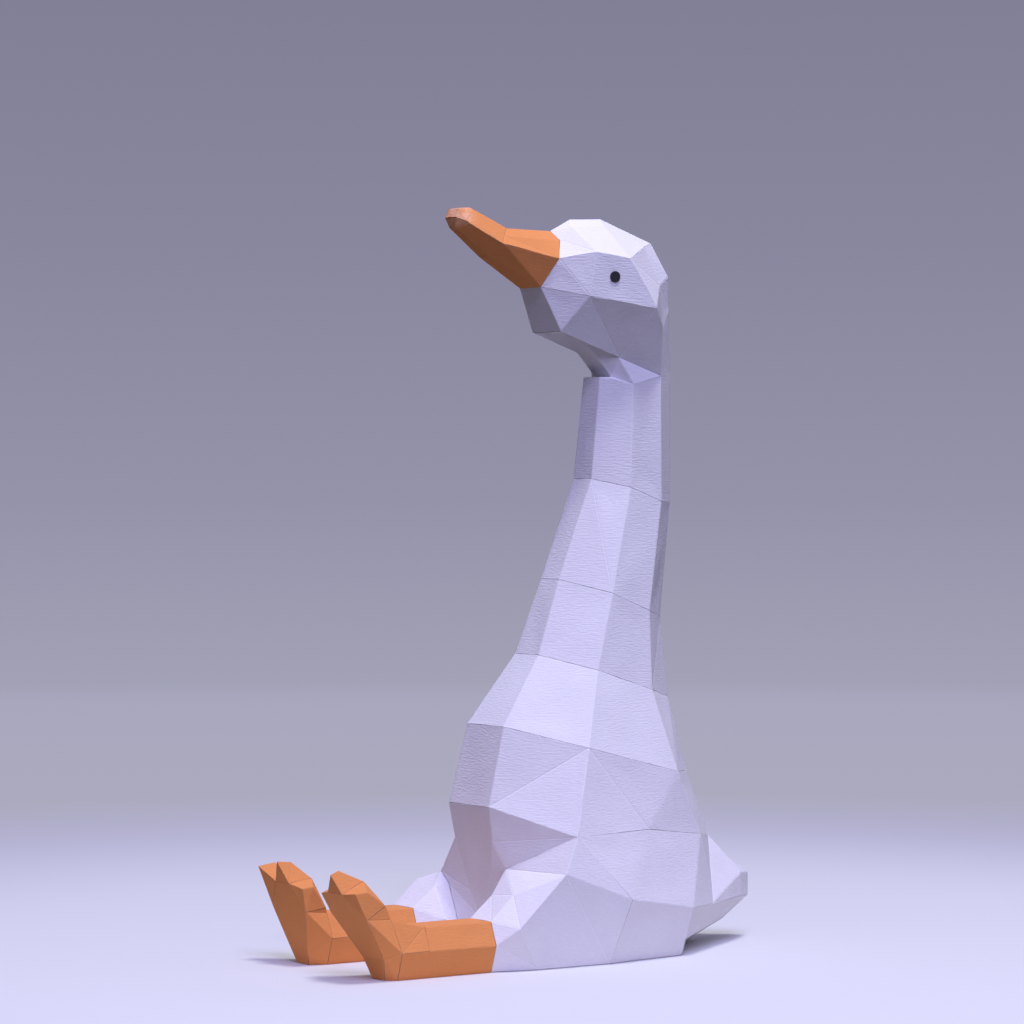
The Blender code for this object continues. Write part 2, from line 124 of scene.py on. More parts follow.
# Places of the lamps, and the point they are turned to
ABOVE_PLACE = (0.80, -0.10, 3.3)
ASIDE_PLACE = (2.30, -1.15, 3.0)
LAMP_AIM = (0.0, 0.0, 0.2)

# Painted light: tones of the floor's glow by distance from the goose, as a part of the floor's radius
FLOOR_PAINTED_LIGHT_TONES = (
    (0.0, (0.60, 0.59, 0.85)),
    (0.2, (0.52, 0.50, 0.74)),
    (0.3, (0.44, 0.43, 0.60)),
    (0.38, (0.407, 0.402, 0.515)),
    (0.85, (0.392, 0.386, 0.515)),
    (1.0, (0.362, 0.358, 0.465)),
)

# Painted shade: tones of the backdrop's glow by its height in metres, darker towards the top
WALL_PAINTED_SHADE_TONES = (
    (0.0, (0.362, 0.358, 0.465)),
    (0.25, (0.300, 0.292, 0.402)),
    (0.60, (0.250, 0.243, 0.345)),
    (1.0, (0.215, 0.210, 0.295)),
)

# Tones of the light from around, by its height: 0 is level and 1 straight above
SKY_TONES = (
    (0.0, (0.06, 0.06, 0.07)),
    (0.3, (0.14, 0.13, 0.20)),
    (0.6, (0.27, 0.255, 0.40)),
    (1.0, (0.30, 0.285, 0.44)),
)

CARDS = {
    "beak": ("beak_upper", "beak_lower"),
    "head": ("crown", "face_left", "face_right", "back_of_head", "jaw"),
    "neck": ("throat", "nape", "neck_sleeve_1", "neck_sleeve_2", "neck_sleeve_3", "neck_sleeve_4"),
    "body": ("breast", "back", "belly", "flank_left", "flank_right", "haunch_left", "haunch_right"),
    "thighs": ("thigh_left", "thigh_right"),
    "tail": ("tail_upper", "tail_lower"),
    "legs": ("leg_left", "leg_right", "ankle_left", "ankle_right"),
    "feet": (
        "foot_sole_left", "foot_heel_left", "foot_middle_toe_left",
        "foot_outer_toe_left", "foot_inner_toe_left",
        "foot_sole_right", "foot_heel_right", "foot_middle_toe_right",
        "foot_outer_toe_right", "foot_inner_toe_right",
    ),
}


class GooseSheetSettings(bpy.types.PropertyGroup):
    """How the card is folded and how it has aged."""

    thickness: FloatProperty(
        name="Thickness", description="Thickness of the card", default=0.5 * MM, unit="LENGTH")
    step: FloatProperty(
        name="Step", description="Distance between the points of a sheet",
        default=3.0 * MM, unit="LENGTH")
    rim_width: FloatProperty(
        name="Rim width", description="Triangles of a solid lower than this are the card's cut edge",
        default=1.2 * MM, unit="LENGTH")
    fold_angle: FloatProperty(
        name="Fold angle", description="Facets that meet at a larger angle have a fold between them",
        default=math.radians(3.0), subtype="ANGLE")
    buckle_height: FloatProperty(
        name="Buckle height", description="How far a facet bulges in or out",
        default=0.35 * MM, unit="LENGTH")
    buckle_length: FloatProperty(
        name="Buckle length", description="Length of the waves in a facet",
        default=42 * MM, unit="LENGTH")
    buckle_margin: FloatProperty(
        name="Buckle margin", description="Width beside a fold that stays flat",
        default=12 * MM, unit="LENGTH")
    lift_height: FloatProperty(
        name="Lift height", description="How far a cut edge stands up at most",
        default=0.25 * MM, unit="LENGTH")
    lift_length: FloatProperty(
        name="Lift length", description="Length of the waves along a cut edge",
        default=24 * MM, unit="LENGTH")
    lift_reach: FloatProperty(
        name="Lift reach", description="How far the lift reaches into the facet",
        default=4 * MM, unit="LENGTH")
    seam_reach: FloatProperty(
        name="Seam reach", description="Cards closer than this are glued together",
        default=3.0 * MM, unit="LENGTH")
    seam_width: FloatProperty(
        name="Seam width", description="Gap that stays open between two cards", default=0.30 * MM,
        unit="LENGTH")
    waves: IntProperty(
        name="Waves", description="Number of waves that are added up", default=6, min=1)


class GooseColourSettings(bpy.types.PropertyGroup):
    """Colours and grain of the cards."""

    white: FloatVectorProperty(
        name="White", description="White card", subtype="COLOR", default=(0.81, 0.80, 0.83))
    white_raw: FloatVectorProperty(
        name="White edge", description="Cut edge of the white card",
        subtype="COLOR", default=(0.90, 0.90, 0.91))
    orange: FloatVectorProperty(
        name="Orange", description="Orange card", subtype="COLOR", default=(0.77, 0.295, 0.088))
    orange_raw: FloatVectorProperty(
        name="Orange edge", description="Cut edge of the orange card", subtype="COLOR",
        default=(0.72, 0.34, 0.15))
    tip_worn: FloatVectorProperty(
        name="Worn tip", description="Rubbed card at the tip of the beak", subtype="COLOR",
        default=(0.96, 0.54, 0.33))
    black: FloatVectorProperty(
        name="Black", description="Black card of the eyes",
        subtype="COLOR", default=(0.012, 0.012, 0.016))
    grain_length: FloatProperty(
        name="Grain length", description="Length of the dashes of the felt grain",
        default=4.2 * MM, unit="LENGTH")
    grain_width: FloatProperty(
        name="Grain width", description="Width of the dashes of the felt grain",
        default=1.0 * MM, unit="LENGTH")
    grain_depth: FloatProperty(
        name="Grain depth", description="Depth of the felt grain", default=0.28 * MM, unit="LENGTH")
    fibre_size: FloatProperty(
        name="Fibre size", description="Size of the fine fibres", default=0.35 * MM, unit="LENGTH")
    crease_width: FloatProperty(
        name="Crease width", description="Half the width of a fold's crease",
        default=0.45 * MM, unit="LENGTH")
    worn_width: FloatProperty(
        name="Worn width", description="Width of the pale line at a cut edge",
        default=0.40 * MM, unit="LENGTH")
    tip_radius: FloatProperty(
        name="Tip radius", description="How far the worn patches reach from the tip of the beak",
        default=16 * MM, unit="LENGTH")


class GooseStageSettings(bpy.types.PropertyGroup):
    """Floor, backdrop, lamps and camera."""

    floor_radius: FloatProperty(
        name="Floor radius", description="Radius of the round floor", default=3.0, unit="LENGTH")
    wall_height: FloatProperty(
        name="Wall height", description="Height of the backdrop", default=3.0, unit="LENGTH")
    floor_colour: FloatVectorProperty(
        name="Floor", description="Floor near the goose",
        subtype="COLOR", default=(0.70, 0.71, 0.70))
    lit_radius: FloatProperty(
        name="Lit radius", description="Radius of the floor that the lamps light",
        default=0.6, unit="LENGTH")
    bounce_colour: FloatVectorProperty(
        name="Bounce", description="Floor as it throws light back on the goose", subtype="COLOR",
        default=(0.74, 0.72, 0.70))
    bounce_radius: FloatProperty(
        name="Bounce radius", description="Radius of the floor that throws light back",
        default=0.31,
        unit="LENGTH")
    lamp_colour: FloatVectorProperty(
        name="Lamp", description="Light of the large lamp above",
        subtype="COLOR", default=(0.90, 0.90, 0.97))
    lamp_power: FloatProperty(
        name="Lamp power", description="Power of the large lamp above", default=61.0, unit="POWER")
    lamp_size: FloatProperty(
        name="Lamp size", description="Side of the square lamp above", default=0.65, unit="LENGTH")
    side_lamp_colour: FloatVectorProperty(
        name="Side lamp", description="Light of the lamp at the goose's left side", subtype="COLOR",
        default=(0.56, 0.54, 1.0))
    side_lamp_power: FloatProperty(
        name="Side lamp power", description="Power of the lamp at the left side",
        default=101.0, unit="POWER")
    side_lamp_size: FloatProperty(
        name="Side lamp size", description="Side of the square lamp at the left side", default=1.6,
        unit="LENGTH")
    camera_place: FloatVectorProperty(
        name="Camera place", description="Place of the camera", subtype="TRANSLATION",
        default=(1.8854, -1.3301, 0.2918))
    camera_turn: FloatProperty(
        name="Camera turn", description="Angle of the view from the goose's side towards its front",
        default=math.radians(34.2), subtype="ANGLE")
    camera_pitch: FloatProperty(
        name="Camera pitch", description="How far the camera looks down",
        default=math.radians(0.62),
        subtype="ANGLE")
    lens: FloatProperty(
        name="Lens", description="Focal length for a sensor 36 mm wide, in millimetres",
        default=133.59)


def smooth_step(values):
    """Zero below 0, one above 1, and a smooth rise between them."""
    part = np.clip(values, 0.0, 1.0)
    return part * part * (3.0 - 2.0 * part)


def soft_noise(points, length, waves, seed):
    """Smooth noise from -1 to 1: the mean of sine waves of about one length in all directions."""
    chance = np.random.default_rng(seed)
    directions = chance.normal(size=(waves, 3))
    directions /= np.linalg.norm(directions, axis=1)[:, None]
    lengths = length * chance.uniform(SHORTEST_WAVE, LONGEST_WAVE, waves)
    phases = chance.uniform(0.0, 2.0 * math.pi, waves)
    angles = points @ (directions / lengths[:, None]).T * 2.0 * math.pi + phases
    return np.sin(angles).sum(axis=-1) / math.sqrt(waves) * NOISE_HEIGHT


def merged_arrays(mesh):
    """Points and triangles of a CAD solid, with the loose triangles joined."""
    solid = bmesh.new()
    solid.from_mesh(mesh)
    bmesh.ops.remove_doubles(solid, verts=solid.verts[:], dist=SAME_POINT)
    bmesh.ops.triangulate(solid, faces=solid.faces[:])
    copy = bpy.data.meshes.new("copy")
    solid.to_mesh(copy)
    solid.free()
    points = np.empty(len(copy.vertices) * 3)
    copy.vertices.foreach_get("co", points)
    corners = np.empty(len(copy.loops), int)
    copy.loops.foreach_get("vertex_index", corners)
    bpy.data.meshes.remove(copy)
    return points.reshape(-1, 3), corners.reshape(-1, 3)


@functools.lru_cache(maxsize=1)
def all_solids():
    """A search tree of every solid of the goose."""
    points, triangles, start = [], [], 0
    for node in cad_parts.values():
        own_points, own_triangles = merged_arrays(node.data)
        points.append(own_points)
        triangles.append(own_triangles + start)
        start += len(own_points)
    return BVHTree.FromPolygons(np.vstack(points).tolist(), np.vstack(triangles).tolist())


def normals_and_areas(points, triangles):
    """Unit normal and area of each triangle."""
    a, b, c = (points[triangles[:, k]] for k in range(3))
    cross = np.cross(b - a, c - a)
    size = np.linalg.norm(cross, axis=1)
    return cross / np.maximum(size, 1e-12)[:, None], size / 2


def edge_table(triangles):
    """Edges as sorted pairs of points, and for each triangle the edge opposite each corner."""
    opposite = [triangles[:, [1, 2]], triangles[:, [2, 0]], triangles[:, [0, 1]]]
    pairs = np.sort(np.stack(opposite, axis=1), axis=2)
    edges, index = np.unique(pairs.reshape(-1, 2), axis=0, return_inverse=True)
    return edges, index.reshape(-1, 3)


def grouped(count, links):
    """Numbers of the groups that links between things join."""
    group = np.arange(count)
    for first, second in links:
        low, high = sorted((group[first], group[second]))
        group[group == high] = low
    return group


def neighbours(triangle_edges):
    """Pairs of triangles that share an edge, and that edge."""
    owners = {}
    for triangle, edges in enumerate(triangle_edges.tolist()):
        for edge in edges:
            owners.setdefault(edge, []).append(triangle)
    return [(edge, pair[0], pair[1]) for edge, pair in owners.items() if len(pair) == 2]


def cards_crossed(tree, start, direction):
    """How many cards a ray goes through; each has an outer and an inner skin."""
    hits = 0
    place = Vector(start) + Vector(direction) * RAY_START * MM
    while hits < MOST_SKINS:
        found = tree.ray_cast(place, Vector(direction))[0]
        if found is None:
            break
        hits += 1
        place = found + Vector(direction) * RAY_STEP * MM
    return round(hits / 2)


def outer_skin(node, rim_width):
    """Points and triangles of the side of a card that faces outwards.

    The low triangles of its cut edge are left out. What remains is two skins, and from the
    outer one a ray crosses an even number of cards.
    """
    points, triangles = merged_arrays(node.data)
    normals, areas = normals_and_areas(points, triangles)
    sides = points[triangles] - points[np.roll(triangles, -1, axis=1)]
    height = 2 * areas / np.linalg.norm(sides, axis=2).max(axis=1)
    kept = triangles[height > rim_width]
    normals = normals[height > rim_width]
    areas = areas[height > rim_width]
    edges, triangle_edges = edge_table(kept)
    group = grouped(len(kept), [(a, b) for _, a, b in neighbours(triangle_edges)])
    tree = all_solids()
    best = None
    for number in np.unique(group):
        members = np.flatnonzero(group == number)
        odd = 0.0
        for member in members:
            centre = points[kept[member]].mean(axis=0)
            odd += areas[member] * (cards_crossed(tree, centre, normals[member]) % 2)
        score = areas[members].sum() - 2 * odd
        if best is None or score > best[0]:
            best = (score, members)
    skin = kept[best[1]]
    used, small = np.unique(skin, return_inverse=True)
    return points[used], small.reshape(-1, 3)


def triangle_grid(count):
    """Weights of the three corners at each point of a divided triangle, and its small triangles."""
    i, j = np.meshgrid(np.arange(count + 1), np.arange(count + 1), indexing="ij")
    inside = i + j <= count
    number = np.cumsum(inside.ravel()).reshape(inside.shape) - 1
    i, j = i[inside], j[inside]
    weights = np.stack([count - i - j, i, j], axis=1) / count
    first = i + j < count
    up = np.stack([number[i[first], j[first]], number[i[first] + 1, j[first]],
                   number[i[first], j[first] + 1]], axis=1)
    second = i + j < count - 1
    down = np.stack([number[i[second] + 1, j[second]], number[i[second] + 1, j[second] + 1],
                     number[i[second], j[second] + 1]], axis=1)
    return weights, np.vstack([up, down])


def nearest_on_lines(points, starts, ends):
    """For each point the nearest point on some straight edges, and the distance to it."""
    if len(starts) == 0:
        return points, np.full(len(points), FAR)
    along = ends - starts
    offset = points[:, None, :] - starts[None]
    part = (offset * along).sum(axis=2) / (along * along).sum(axis=1)
    feet = starts + np.clip(part, 0.0, 1.0)[..., None] * along
    distances = np.linalg.norm(points[:, None, :] - feet, axis=2)
    rows = np.arange(len(points))
    nearest = distances.argmin(axis=1)
    return feet[rows, nearest], distances[rows, nearest]


@functools.lru_cache(maxsize=None)
def card_skin(name, rim_width):
    """Outer skin of a card: points, triangles, edges, each triangle's edges, and its outline."""
    points, triangles = outer_skin(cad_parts[name], rim_width)
    edges, triangle_edges = edge_table(triangles)
    outline = np.bincount(triangle_edges.ravel(), minlength=len(edges)) == 1
    return points, triangles, edges, triangle_edges, outline


def drawn_together(name, sheet):
    """Points of a card's skin, with its outline moved towards the cards that it is glued to."""
    points, _, edges, _, outline = card_skin(name, sheet.rim_width)
    moved = points.copy()
    rim = np.unique(edges[outline])
    others = [other for group in CARDS.values() for other in group if other != name]
    for other in others:
        other_points, _, other_edges, _, other_outline = card_skin(other, sheet.rim_width)
        ends = other_points[other_edges[other_outline]]
        nearest, distance = nearest_on_lines(moved[rim], ends[:, 0], ends[:, 1])
        near = (distance < sheet.seam_reach) & (distance > sheet.seam_width)
        part = (1.0 - sheet.seam_width / distance[near]) / 2
        moved[rim[near]] += part[:, None] * (nearest[near] - moved[rim[near]])
    return moved


def grain_directions(normal, turn):
    """Two directions in a facet's plane: level and upwards, turned a little."""
    level = np.cross((0.0, 0.0, 1.0), normal)
    if np.linalg.norm(level) < NEARLY_LEVEL:
        level = np.cross((1.0, 0.0, 0.0), normal)
    level = level / np.linalg.norm(level)
    upwards = np.cross(normal, level)
    cosine, sine = math.cos(turn), math.sin(turn)
    return level * cosine + upwards * sine, upwards * cosine - level * sine


def seed_of(name):
    """A number of its own for each name."""
    return sum((place + 1) * ord(letter) for place, letter in enumerate(name))


def sheet_arrays(node, sheet):
    """Points, triangles and corner values of one card's outer skin.

    Each triangle of the skin is divided into an even grid: a point is the mean of the three
    corners, weighted by the grid's two parameters. It then moves along its facet's normal by
    buckle * noise * s(d / margin) + lift * noise * exp(-c / reach) * s(f / reach), where d is
    the distance to the facet's outline, c to its cut edges and f to its folds, and s is a
    smooth step from 0 to 1.
    """
    _, triangles, edges, triangle_edges, is_cut = card_skin(node.name, sheet.rim_width)
    points = drawn_together(node.name, sheet)
    normals, areas = normals_and_areas(points, triangles)
    shared = neighbours(triangle_edges)
    cosines = (normals[[a for _, a, _ in shared]] * normals[[b for _, _, b in shared]]).sum(axis=1)
    flat = cosines > math.cos(sheet.fold_angle)
    is_fold = np.zeros(len(edges), bool)
    is_fold[[edge for (edge, _, _), even in zip(shared, flat) if not even]] = True
    facet = grouped(len(triangles), [(a, b) for (_, a, b), even in zip(shared, flat) if even])

    lengths = np.linalg.norm(points[edges[:, 0]] - points[edges[:, 1]], axis=1)
    count = int(np.clip(math.ceil(lengths.max() / sheet.step), LEAST_PARTS, MOST_PARTS))
    weights, small = triangle_grid(count)
    grid = np.einsum("kc,tcx->tkx", weights, points[triangles])
    heights = 2 * areas[:, None] / lengths[triangle_edges]
    distances = weights[None] * heights[:, None, :]
    cut = np.where(is_cut[triangle_edges][:, None, :], distances, FAR)
    fold = np.where(is_fold[triangle_edges][:, None, :], distances, FAR)

    seed = seed_of(node.name)
    chance = np.random.default_rng(seed)
    shift = chance.uniform(0.0, 1.0, 2)
    places = np.empty(grid.shape[:2] + (2,))
    moved = grid.copy()
    for number in np.unique(facet):
        members = np.flatnonzero(facet == number)
        normal = (normals[members] * areas[members, None]).sum(axis=0)
        normal /= np.linalg.norm(normal)
        own = grid[members].reshape(-1, 3)
        own_edges = np.unique(triangle_edges[members])
        cuts = edges[own_edges[is_cut[own_edges]]]
        folds = edges[own_edges[is_fold[own_edges]]]
        to_cut = nearest_on_lines(own, points[cuts[:, 0]], points[cuts[:, 1]])[1]
        to_fold = nearest_on_lines(own, points[folds[:, 0]], points[folds[:, 1]])[1]
        buckle = sheet.buckle_height * soft_noise(own, sheet.buckle_length, sheet.waves, seed + number)
        buckle *= smooth_step(np.minimum(to_cut, to_fold) / sheet.buckle_margin)
        lift = 0.5 + 0.5 * soft_noise(own, sheet.lift_length, sheet.waves, seed + 1)
        lift = sheet.lift_height * np.clip(lift, 0.0, 1.0) * np.exp(-to_cut / sheet.lift_reach)
        lift *= smooth_step(to_fold / sheet.lift_reach)
        moved[members] += ((buckle + lift)[:, None] * normal).reshape(len(members), -1, 3)
        level, upwards = grain_directions(normal, chance.uniform(-GRAIN_TURN, GRAIN_TURN))
        own_places = np.stack([own @ level, own @ upwards], axis=1) + shift
        places[members] = own_places.reshape(len(members), -1, 2)

    starts = np.arange(len(triangles))[:, None, None] * len(weights)
    faces = (small[None] + starts).reshape(-1, 3)
    corners = small.ravel()
    return (moved.reshape(-1, 3), faces, cut[:, corners].reshape(-1, 3),
            fold[:, corners].reshape(-1, 3), places[:, corners].reshape(-1, 2))


def make_card(context, name, look):
    """One card as a folded sheet, thickened inwards, in the place of its solid."""
    sheet = context.scene.goose_sheet
    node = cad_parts[name]
    points, faces, cut, fold, places = sheet_arrays(node, sheet)
    mesh = bpy.data.meshes.new(name + "_card")
    mesh.from_pydata(points, [], faces)
    for kind, distances in (("cut_distance", cut), ("fold_distance", fold)):
        attribute = mesh.attributes.new(kind, "FLOAT_VECTOR", "CORNER")
        attribute.data.foreach_set("vector", distances.ravel())
    mesh.uv_layers.new(name="grain").data.foreach_set("uv", places.ravel())
    joined = bmesh.new()
    joined.from_mesh(mesh)
    bmesh.ops.remove_doubles(joined, verts=joined.verts[:], dist=SAME_POINT / 2)
    joined.to_mesh(mesh)
    joined.free()
    mesh.shade_smooth()
    mesh.set_sharp_from_angle(angle=sheet.fold_angle)
    edge_of_corner = np.empty(len(mesh.loops), int)
    mesh.loops.foreach_get("edge_index", edge_of_corner)
    sharp = np.zeros(len(mesh.edges), bool)
    mesh.edges.foreach_get("use_edge_sharp", sharp)
    sharp |= np.bincount(edge_of_corner, minlength=len(mesh.edges)) == 1
    mesh.edges.foreach_set("use_edge_sharp", sharp)
    piece = bpy.data.objects.new(name + "_card", mesh)
    context.scene.collection.objects.link(piece)
    for material in card_materials(context, look):
        mesh.materials.append(material)
    thick = piece.modifiers.new("thickness", "SOLIDIFY")
    thick.thickness = sheet.thickness
    thick.offset = -1
    thick.use_even_offset = True
    thick.thickness_clamp = 2.0
    thick.material_offset_rim = 1
    put_in_place(piece, name)


def put_in_place(piece, name):
    """The piece moves with the goose and stands for its solid, which is hidden."""
    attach(piece, "root")
    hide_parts(name)


def make_group(context, group, look):
    """Every card of one group."""
    for name in CARDS[group]:
        make_card(context, name, look)


class Shader:
    """Builds the nodes of one material."""

    def __init__(self, name):
        self.material = bpy.data.materials.new(name)
        self.material.use_nodes = True
        self.tree = self.material.node_tree
        self.surface = self.tree.nodes["Principled BSDF"]

    def node(self, kind, **settings):
        new = self.tree.nodes.new(kind)
        for name, value in settings.items():
            setattr(new, name, value)
        return new

    def join(self, value, socket):
        """Links an output, or sets a constant."""
        if isinstance(value, bpy.types.NodeSocket):
            self.tree.links.new(value, socket)
        else:
            socket.default_value = value

    def maths(self, operation, first, second=0.0):
        new = self.node("ShaderNodeMath", operation=operation)
        self.join(first, new.inputs[0])
        self.join(second, new.inputs[1])
        return new.outputs[0]

    def band(self, value, low, high, to_low=0.0, to_high=1.0):
        """A smooth change from one value to another between two limits."""
        new = self.node("ShaderNodeMapRange", interpolation_type="SMOOTHSTEP")
        self.join(value, new.inputs["Value"])
        limits = {"From Min": low, "From Max": high, "To Min": to_low, "To Max": to_high}
        for name, constant in limits.items():
            new.inputs[name].default_value = constant
        return new.outputs["Result"]

    def mix(self, factor, first, second, blend="MIX"):
        new = self.node("ShaderNodeMix", data_type="RGBA", blend_type=blend)
        self.join(factor, new.inputs["Factor"])
        self.join(first, new.inputs["A"])
        self.join(second, new.inputs["B"])
        return new.outputs["Result"]

    def noise(self, vector, scale, detail=2.0, roughness=0.5):
        new = self.node("ShaderNodeTexNoise")
        self.join(vector, new.inputs["Vector"])
        new.inputs["Scale"].default_value = scale
        new.inputs["Detail"].default_value = detail
        new.inputs["Roughness"].default_value = roughness
        return new.outputs["Fac"]

    def place(self):
        """The point of the goose."""
        return self.node("ShaderNodeTexCoord").outputs["Object"]

    def sheet_place(self, length, width):
        """The point on the flat sheet, in grains of a length and width."""
        sheet = self.node("ShaderNodeUVMap", uv_map="grain")
        stretch = self.node("ShaderNodeVectorMath", operation="MULTIPLY")
        self.join(sheet.outputs["UV"], stretch.inputs[0])
        stretch.inputs[1].default_value = (1 / length, 1 / width, 1.0)
        return stretch.outputs[0]

    def nearest(self, attribute):
        """Distance to the nearest of a triangle's three edges that are of one kind."""
        values = self.node("ShaderNodeAttribute", attribute_name=attribute)
        split = self.node("ShaderNodeSeparateXYZ")
        self.join(values.outputs["Vector"], split.inputs[0])
        low = self.maths("MINIMUM", split.outputs[0], split.outputs[1])
        return self.maths("MINIMUM", low, split.outputs[2])

    def bump(self, height, distance, below=None):
        new = self.node("ShaderNodeBump")
        new.inputs["Distance"].default_value = distance
        self.join(height, new.inputs["Height"])
        if below is not None:
            self.join(below, new.inputs["Normal"])
        return new.outputs["Normal"]


def opaque(colour):
    """A colour with full alpha."""
    return (colour[0], colour[1], colour[2], 1.0)


def scaled(colour, factor):
    """A colour made lighter or darker."""
    return (colour[0] * factor, colour[1] * factor, colour[2] * factor, 1.0)


@functools.lru_cache(maxsize=None)
def card_materials(context, look):
    """The face of a card and its cut edge: felt grain, fibres, pale worn edges and creases."""
    colours = context.scene.goose_colour
    base, raw = {
        "white": (colours.white, colours.white_raw),
        "orange": (colours.orange, colours.orange_raw),
    }[look]
    wear = WEAR[look]
    face = Shader(look + "_card")
    grain = face.noise(face.sheet_place(colours.grain_length, colours.grain_width), 1.0, 2.0)
    fibres = face.noise(face.sheet_place(colours.fibre_size * 3, colours.fibre_size), 1.0, 1.0)
    clouds = face.noise(face.place(), CLOUD_SCALE, 3.0)
    specks = face.noise(face.place(), SPECK_SCALE, 2.0, 0.6)
    shade = face.band(clouds, 0.3, 0.7)
    colour = face.mix(shade, scaled(base, 0.975), scaled(base, 1.015))
    colour = face.mix(face.band(grain, 0.35, 0.65, 0.35, 0.0), colour, scaled(base, 0.94))
    colour = face.mix(face.band(specks, 0.62, 0.75, 0.0, 0.30), colour, scaled(base, 0.90))
    to_fold = face.nearest("fold_distance")
    to_cut = face.nearest("cut_distance")
    along = face.noise(face.place(), WEAR_SCALE, 3.0)
    at_fold = face.band(to_fold, 0.0, colours.crease_width, 1.0, 0.0)
    crease = face.maths("MULTIPLY", at_fold, face.band(along, 0.35, 0.65, 0.25 * wear, 0.6 * wear))
    colour = face.mix(crease, colour, opaque(raw))
    at_cut = face.band(to_cut, colours.worn_width * 0.4, colours.worn_width, 1.0, 0.0)
    worn = face.maths("MULTIPLY", at_cut, face.band(along, 0.40, 0.60, 0.30 * wear, 0.95 * wear))
    colour = face.mix(worn, colour, opaque(raw))
    if look == "orange":
        from_tip = face.node("ShaderNodeVectorMath", operation="DISTANCE")
        face.join(face.place(), from_tip.inputs[0])
        from_tip.inputs[1].default_value = BEAK_TIP
        patches = face.band(along, 0.38, 0.60, 0.15, 0.75)
        at_tip = face.band(from_tip.outputs["Value"], colours.tip_radius * TIP_CORE,
                           colours.tip_radius, 1.0, 0.0)
        rubbed = face.maths("MULTIPLY", patches, at_tip)
        colour = face.mix(rubbed, colour, opaque(colours.tip_worn))
    face.join(colour, face.surface.inputs["Base Color"])
    face.surface.inputs["Roughness"].default_value = 0.85
    face.surface.inputs["Specular IOR Level"].default_value = 0.25
    normal = face.bump(grain, colours.grain_depth)
    normal = face.bump(fibres, colours.grain_depth * 0.16, normal)
    normal = face.bump(face.band(to_fold, 0.0, colours.crease_width * 1.5), 0.12 * MM, normal)
    face.join(normal, face.surface.inputs["Normal"])

    edge = Shader(look + "_card_cut_edge")
    layers = edge.noise(edge.place(), EDGE_FIBRE_SCALE, 2.0)
    edge.join(edge.mix(layers, scaled(raw, 0.90), opaque(raw)), edge.surface.inputs["Base Color"])
    edge.surface.inputs["Roughness"].default_value = 0.95
    edge.join(edge.bump(layers, 0.05 * MM), edge.surface.inputs["Normal"])
    return face.material, edge.material


def ring_quads(rows, columns):
    """Four-sided faces between rings of points; each ring is closed on itself."""
    row, column = np.meshgrid(np.arange(rows - 1), np.arange(columns), indexing="ij")
    after = (column + 1) % columns
    return np.stack([row * columns + column, (row + 1) * columns + column,
                     (row + 1) * columns + after, row * columns + after], axis=-1).reshape(-1, 4)


def make_eye(context, name):
    """A punched disc of black card: a turned shape with its outer edge rounded over.

    A point is centre + r(s) * (cos t, sin t) + h(s) * axis, where s runs along the profile
    from the middle of the front over the rounded edge to the middle of the back.
    """
    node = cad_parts[name]
    points, triangles = merged_arrays(node.data)
    normals, areas = normals_and_areas(points, triangles)
    axis = normals[areas.argmax()]
    centre = (points.max(axis=0) + points.min(axis=0)) / 2
    axis = axis if axis[0] * centre[0] > 0 else -axis
    level, upwards = grain_directions(axis, 0.0)
    offset = points - centre
    half = np.abs(offset @ axis).max()
    radius = np.linalg.norm(offset - (offset @ axis)[:, None] * axis, axis=1).max()
    rounding = half * EYE_ROUNDING
    bend = np.linspace(0.0, math.pi / 2, EYE_EDGE_RINGS)[1:]
    rings = np.concatenate([
        np.linspace(0.0, radius - rounding, EYE_FRONT_RINGS),
        radius - rounding + rounding * np.sin(bend),
        [radius, radius * 0.5, 0.0],
    ])
    rise = np.concatenate([
        np.full(EYE_FRONT_RINGS, half),
        half - rounding + rounding * np.cos(bend),
        [-half, -half, -half],
    ])
    turns = np.linspace(0.0, 2 * math.pi, EYE_COLUMNS, endpoint=False)
    around = np.cos(turns)[:, None] * level + np.sin(turns)[:, None] * upwards
    grid = centre + rings[:, None, None] * around[None] + (rise[:, None] * axis)[:, None, :]
    mesh = bpy.data.meshes.new(name + "_disc")
    mesh.from_pydata(grid.reshape(-1, 3), [], ring_quads(len(rings), EYE_COLUMNS))
    disc = bmesh.new()
    disc.from_mesh(mesh)
    bmesh.ops.remove_doubles(disc, verts=disc.verts[:], dist=SAME_POINT / 2)
    bmesh.ops.dissolve_degenerate(disc, edges=disc.edges[:], dist=SAME_POINT / 10)
    bmesh.ops.recalc_face_normals(disc, faces=disc.faces[:])
    disc.to_mesh(mesh)
    disc.free()
    mesh.shade_smooth()
    piece = bpy.data.objects.new(name + "_disc", mesh)
    context.scene.collection.objects.link(piece)
    mesh.materials.append(eye_material(context))
    put_in_place(piece, name)


@functools.lru_cache(maxsize=None)
def eye_material(context):
    """Matt black card with fine fibres."""
    colours = context.scene.goose_colour
    face = Shader("black_card")
    fibres = face.noise(face.place(), EYE_FIBRE_SCALE, 3.0, 0.6)
    colour = face.mix(face.band(fibres, 0.45, 0.75), opaque(colours.black), scaled(colours.black, 2.2))
    face.join(colour, face.surface.inputs["Base Color"])
    face.surface.inputs["Roughness"].default_value = 0.6
    face.join(face.bump(fibres, 0.03 * MM), face.surface.inputs["Normal"])
    return face.material


